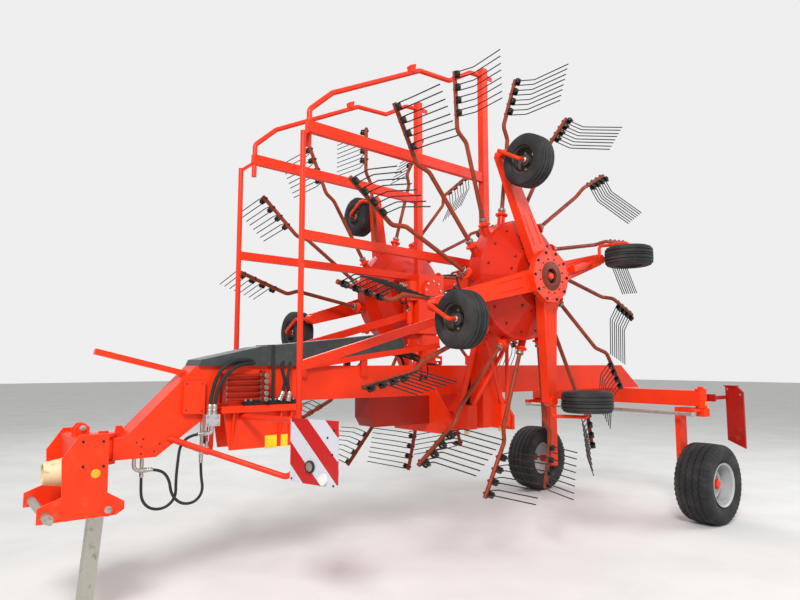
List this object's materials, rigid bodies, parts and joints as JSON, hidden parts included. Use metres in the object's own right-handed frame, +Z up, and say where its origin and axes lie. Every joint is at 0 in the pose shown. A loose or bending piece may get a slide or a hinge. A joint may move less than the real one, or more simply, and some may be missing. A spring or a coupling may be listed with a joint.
{
  "type": "twin rotor hay rake",
  "caption": "Towed hay rake with two tined rotors folded upright beside a box beam, steered rear wheels, drawbar head and parking stand.",
  "frame": {"origin": "on the ground under the middle of the machine, between the rear tyres' back and the drawbar head's front", "axes": "+X forward to the drawbar, +Y to the left, +Z up"},
  "size_m": [6.765, 3, 4.6],
  "materials": {
    "beam_paint": "painted",
    "frame_paint": "painted",
    "boom_paint": "painted",
    "carriage_paint": "painted",
    "drum_paint": "painted",
    "arm_paint": "painted",
    "cover_plastic": "plain",
    "marker_film": "plain",
    "board_paint": "painted",
    "bare_steel": "plain",
    "guard_plastic": "plain",
    "zinc_steel": "plain",
    "rim_silver": "painted",
    "road_tyre": "plain",
    "small_tyre": "plain",
    "cylinder_paint": "painted",
    "spring_wire": "painted",
    "chrome_rod": "plain",
    "pipe_paint": "painted",
    "cast_alloy": "plain",
    "box_paint": "painted",
    "hose_rubber": "plain"
  },
  "bodies": {
    "chassis": {"main_beam": "beam_paint", "fold_ears": "beam_paint", "cylinder_lugs": "beam_paint", "beam_cover": "cover_plastic", "rear_axle_beam": "beam_paint", "marker_frames": "frame_paint", "marker_panels": "marker_film", "light_boards": "board_paint", "cover_strips": "frame_paint", "valve_bank": "pipe_paint", "distributor_block": "cast_alloy", "under_box": "box_paint", "hose_elbows": "zinc_steel", "hose_outer": "hose_rubber", "hose_inner": "hose_rubber"},
    "drawbar": {"drawbar_head": "beam_paint", "cross_shaft": "bare_steel", "shaft_guard": "guard_plastic"},
    "stand": {"parking_stand": "zinc_steel"},
    "track_rod": {"track_rod": "bare_steel"},
    "knuckle_left": {"knuckle_left": "beam_paint"},
    "road_wheel_left": {"wheel_rim_left": "rim_silver", "tyre_left": "road_tyre"},
    "knuckle_right": {"knuckle_right": "beam_paint"},
    "road_wheel_right": {"wheel_rim_right": "rim_silver", "tyre_right": "road_tyre"},
    "boom_left": {"boom_left": "boom_paint"},
    "head_left": {"rotor_head_left": "boom_paint", "rotor_guard_left": "frame_paint", "carriage_left": "carriage_paint"},
    "rotor_left": {"rotor_drum_left": "drum_paint", "tine_arms_left": "arm_paint", "tines_left": "spring_wire"},
    "fold_barrel_left": {"fold_barrel_left": "cylinder_paint"},
    "fold_piston_left": {"fold_piston_left": "chrome_rod"},
    "rotor_wheel_front_left": {"rotor_wheel_front_left": "small_tyre"},
    "caster_fork_front_left": {"caster_fork_front_left": "carriage_paint"},
    "rotor_wheel_outer_left": {"rotor_wheel_outer_left": "small_tyre"},
    "caster_fork_outer_left": {"caster_fork_outer_left": "carriage_paint"},
    "rotor_wheel_rear_left": {"rotor_wheel_rear_left": "small_tyre"},
    "rotor_wheel_inner_left": {"rotor_wheel_inner_left": "small_tyre"},
    "boom_right": {"boom_right": "boom_paint"},
    "head_right": {"rotor_head_right": "boom_paint", "rotor_guard_right": "frame_paint", "carriage_right": "carriage_paint"},
    "rotor_right": {"rotor_drum_right": "drum_paint", "tine_arms_right": "arm_paint", "tines_right": "spring_wire"},
    "fold_barrel_right": {"fold_barrel_right": "cylinder_paint"},
    "fold_piston_right": {"fold_piston_right": "chrome_rod"},
    "rotor_wheel_front_right": {"rotor_wheel_front_right": "small_tyre"},
    "caster_fork_front_right": {"caster_fork_front_right": "carriage_paint"},
    "rotor_wheel_outer_right": {"rotor_wheel_outer_right": "small_tyre"},
    "caster_fork_outer_right": {"caster_fork_outer_right": "carriage_paint"},
    "rotor_wheel_rear_right": {"rotor_wheel_rear_right": "small_tyre"},
    "rotor_wheel_inner_right": {"rotor_wheel_inner_right": "small_tyre"}
  },
  "joints": [
    {"name": "drawbar_yaw", "type": "hinge", "parent": "chassis", "child": "drawbar", "pos_m": [2.945, 0, 1.14], "axis": [0, 0, 1], "range_deg": [-60, 60]},
    {"name": "stand_fold", "type": "hinge", "parent": "drawbar", "child": "stand", "pos_m": [2.965, 0, 0.795], "axis": [0, 1, 0], "range_deg": [0, 95]},
    {"name": "steer_left", "type": "hinge", "parent": "chassis", "child": "knuckle_left", "pos_m": [-2.935, 1.16, 1.2], "axis": [0, 0, 1], "range_deg": [-20, 20]},
    {"name": "road_wheel_spin_left", "type": "hinge", "parent": "knuckle_left", "child": "road_wheel_left", "pos_m": [-2.935, 1.195, 0.425], "axis": [0, 1, 0], "continuous": true},
    {"name": "steer_right", "type": "hinge", "parent": "chassis", "child": "knuckle_right", "pos_m": [-2.935, -1.16, 1.2], "axis": [0, 0, 1], "range_deg": [-20, 20]},
    {"name": "road_wheel_spin_right", "type": "hinge", "parent": "knuckle_right", "child": "road_wheel_right", "pos_m": [-2.935, -1.195, 0.425], "axis": [0, 1, 0], "continuous": true},
    {"name": "track_rod_shift", "type": "slide", "parent": "chassis", "child": "track_rod", "axis": [0, 1, 0], "range_m": [-0.07, 0.07]},
    {"name": "fold_left", "type": "hinge", "parent": "chassis", "child": "boom_left", "pos_m": [-0.285, 0.35, 1.15], "axis": [-1, 0, 0], "range_deg": [0, 90]},
    {"name": "telescope_left", "type": "slide", "parent": "boom_left", "child": "head_left", "axis": [0, 0, 1], "range_m": [0, 0.625]},
    {"name": "rotor_spin_left", "type": "hinge", "parent": "head_left", "child": "rotor_left", "pos_m": [-0.285, 0.85, 2.465], "axis": [0, 1, 0], "continuous": true},
    {"name": "barrel_swing_left", "type": "hinge", "parent": "chassis", "child": "fold_barrel_left", "pos_m": [-0.285, 0.18, 1.29], "axis": [-1, 0, 0], "range_deg": [0, 84.35]},
    {"name": "piston_slide_left", "type": "slide", "parent": "fold_barrel_left", "child": "fold_piston_left", "axis": [0, 0.1713, 0.9852], "range_m": [0, 0.30672]},
    {"name": "caster_front_left", "type": "hinge", "parent": "head_left", "child": "caster_fork_front_left", "pos_m": [0.79684, 0.975, 2.17512], "axis": [0, 1, 0], "continuous": true},
    {"name": "rotor_wheel_spin_front_left", "type": "hinge", "parent": "caster_fork_front_left", "child": "rotor_wheel_front_left", "pos_m": [0.79684, 1.275, 2.04512], "axis": [1, 0, 0], "continuous": true},
    {"name": "caster_outer_left", "type": "hinge", "parent": "head_left", "child": "caster_fork_outer_left", "pos_m": [0.00488, 0.975, 3.54684], "axis": [0, 1, 0], "continuous": true},
    {"name": "rotor_wheel_spin_outer_left", "type": "hinge", "parent": "caster_fork_outer_left", "child": "rotor_wheel_outer_left", "pos_m": [0.00488, 1.275, 3.41684], "axis": [1, 0, 0], "continuous": true},
    {"name": "rotor_wheel_spin_rear_left", "type": "hinge", "parent": "head_left", "child": "rotor_wheel_rear_left", "pos_m": [-1.43684, 1.275, 2.75488], "axis": [0, 0, 1], "continuous": true},
    {"name": "rotor_wheel_spin_inner_left", "type": "hinge", "parent": "head_left", "child": "rotor_wheel_inner_left", "pos_m": [-0.70488, 1.275, 1.38316], "axis": [0, 0, 1], "continuous": true},
    {"name": "fold_right", "type": "hinge", "parent": "chassis", "child": "boom_right", "pos_m": [-0.285, -0.35, 1.15], "axis": [1, 0, 0], "range_deg": [0, 90]},
    {"name": "telescope_right", "type": "slide", "parent": "boom_right", "child": "head_right", "axis": [0, 0, 1], "range_m": [0, 0.625]},
    {"name": "rotor_spin_right", "type": "hinge", "parent": "head_right", "child": "rotor_right", "pos_m": [-0.285, -0.85, 2.465], "axis": [0, 1, 0], "continuous": true},
    {"name": "barrel_swing_right", "type": "hinge", "parent": "chassis", "child": "fold_barrel_right", "pos_m": [-0.285, -0.18, 1.29], "axis": [1, 0, 0], "range_deg": [0, 84.35]},
    {"name": "piston_slide_right", "type": "slide", "parent": "fold_barrel_right", "child": "fold_piston_right", "axis": [0, -0.1713, 0.9852], "range_m": [0, 0.30672]},
    {"name": "caster_front_right", "type": "hinge", "parent": "head_right", "child": "caster_fork_front_right", "pos_m": [0.79684, -0.975, 2.17512], "axis": [0, 1, 0], "continuous": true},
    {"name": "rotor_wheel_spin_front_right", "type": "hinge", "parent": "caster_fork_front_right", "child": "rotor_wheel_front_right", "pos_m": [0.79684, -1.275, 2.04512], "axis": [1, 0, 0], "continuous": true},
    {"name": "caster_outer_right", "type": "hinge", "parent": "head_right", "child": "caster_fork_outer_right", "pos_m": [0.00488, -0.975, 3.54684], "axis": [0, 1, 0], "continuous": true},
    {"name": "rotor_wheel_spin_outer_right", "type": "hinge", "parent": "caster_fork_outer_right", "child": "rotor_wheel_outer_right", "pos_m": [0.00488, -1.275, 3.41684], "axis": [1, 0, 0], "continuous": true},
    {"name": "rotor_wheel_spin_rear_right", "type": "hinge", "parent": "head_right", "child": "rotor_wheel_rear_right", "pos_m": [-1.43684, -1.275, 2.75488], "axis": [0, 0, 1], "continuous": true},
    {"name": "rotor_wheel_spin_inner_right", "type": "hinge", "parent": "head_right", "child": "rotor_wheel_inner_right", "pos_m": [-0.70488, -1.275, 1.38316], "axis": [0, 0, 1], "continuous": true}
  ],
  "couplings": [
    {"joint": "steer_right", "follows": "steer_left", "ratio": 1},
    {"joint": "track_rod_shift", "follows": "steer_left", "m_per_rad": 0.196},
    {"joint": "telescope_left", "follows": "fold_left", "m_per_rad": 0.3947},
    {"joint": "barrel_swing_left", "follows": "fold_left", "ratio": 0.93166},
    {"joint": "piston_slide_left", "follows": "fold_left", "m_per_rad": 0.19399},
    {"joint": "telescope_right", "follows": "fold_right", "m_per_rad": 0.3947},
    {"joint": "barrel_swing_right", "follows": "fold_right", "ratio": 0.93166},
    {"joint": "piston_slide_right", "follows": "fold_right", "m_per_rad": 0.19399}
  ]
}
